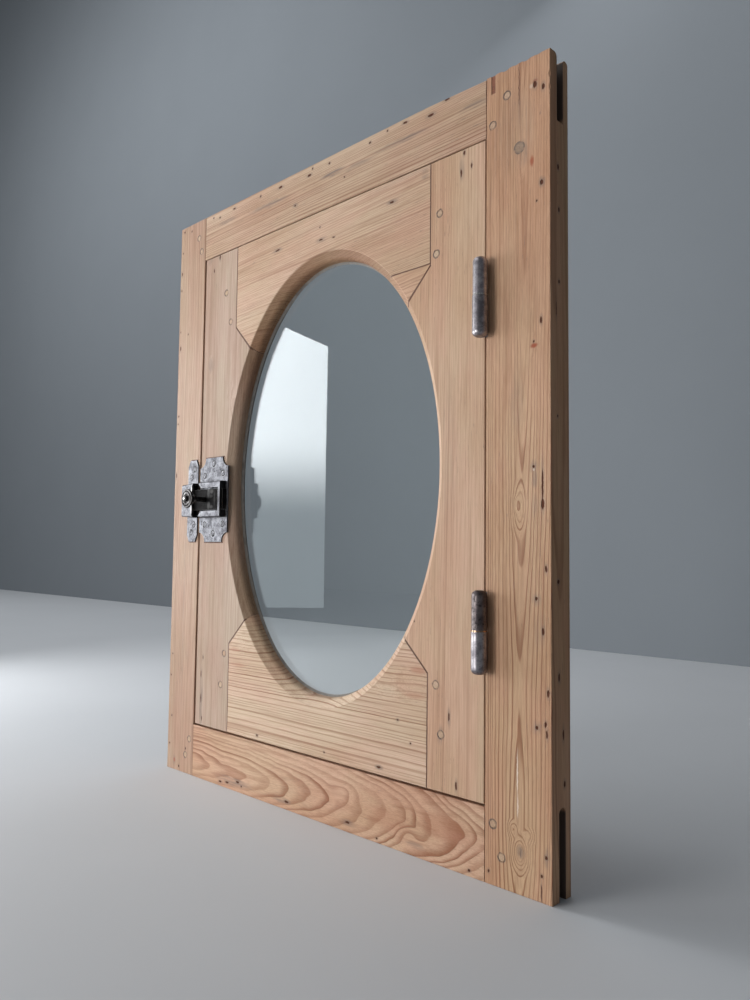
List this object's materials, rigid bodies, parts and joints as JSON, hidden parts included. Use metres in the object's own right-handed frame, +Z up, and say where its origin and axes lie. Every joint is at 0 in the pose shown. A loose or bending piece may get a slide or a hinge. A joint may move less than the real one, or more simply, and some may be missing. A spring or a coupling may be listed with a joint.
{
  "type": "oval oculus window",
  "caption": "Oval oculus window: a pegged pine frame with a side-hung sash and oval pane, barrel hinges and a slide latch with a turned knob.",
  "frame": {"origin": "middle of the frame's bottom edge, halfway through its thickness", "axes": "+Z up, +X towards the hinges, -Y towards the room side with the latch and barrels"},
  "size_m": [0.661, 0.0768, 0.82],
  "materials": {
    "frame_pine": "planed old pine, bare, with nail holes",
    "sash_pine": "planed old pine, bare",
    "peg_wood": "end grain, slightly darker",
    "red_wood": "reddish end grain",
    "glass": "clear old sheet glass, faintly uneven",
    "putty": "grey linseed putty, matt",
    "screw_steel": "worn steel",
    "plate_steel": "pale worn pressed steel",
    "latch_iron": "dark worn iron",
    "knob_steel": "dark turned iron, rubbed bright on the rim",
    "hinge_steel": "steel, tarnished grey",
    "hinge_black": "steel, oxidised nearly black",
    "washer_brass": "bright coppery brass"
  },
  "bodies": {
    "frame": {"frame_latch_stile": "frame_pine", "frame_hinge_stile": "frame_pine", "frame_top_rail": "frame_pine", "frame_bottom_rail": "frame_pine", "frame_pegs": "peg_wood", "stile_plug": "peg_wood", "joint_wedge": "red_wood", "keeper": "plate_steel", "keeper_screws": "screw_steel", "frame_leaf_screws": "screw_steel", "top_hinge_frame_leaf": "hinge_steel", "top_hinge_pin": "hinge_steel", "top_hinge_washer": "hinge_steel", "bottom_hinge_frame_leaf": "hinge_steel", "bottom_hinge_pin": "hinge_steel", "bottom_hinge_washer": "washer_brass"},
    "sash": {"sash_latch_stile": "sash_pine", "sash_hinge_stile": "sash_pine", "sash_top_rail": "sash_pine", "sash_bottom_rail": "sash_pine", "sash_rail_block": "sash_pine", "sash_pegs": "peg_wood", "glass_pane": "glass", "glazing_putty": "putty", "glazing_sprigs": "screw_steel", "sash_leaf_screws": "screw_steel", "latch_plate": "plate_steel", "latch_case": "latch_iron", "bolt_spring": "screw_steel", "latch_screws": "screw_steel", "top_hinge_sash_leaf": "hinge_steel", "bottom_hinge_sash_leaf": "hinge_black"},
    "bolt": {"latch_bolt": "latch_iron", "latch_knob": "knob_steel"}
  },
  "joints": [
    {"name": "sash_swing", "type": "hinge", "parent": "frame", "child": "sash", "pos_m": [0.2534, -0.02545, 0.41], "axis": [0, 0, 1], "range_deg": [0, 175]},
    {"name": "bolt_slide", "type": "slide", "parent": "sash", "child": "bolt", "axis": [1, 0, 0], "range_m": [-0.0035, 0.032]}
  ]
}
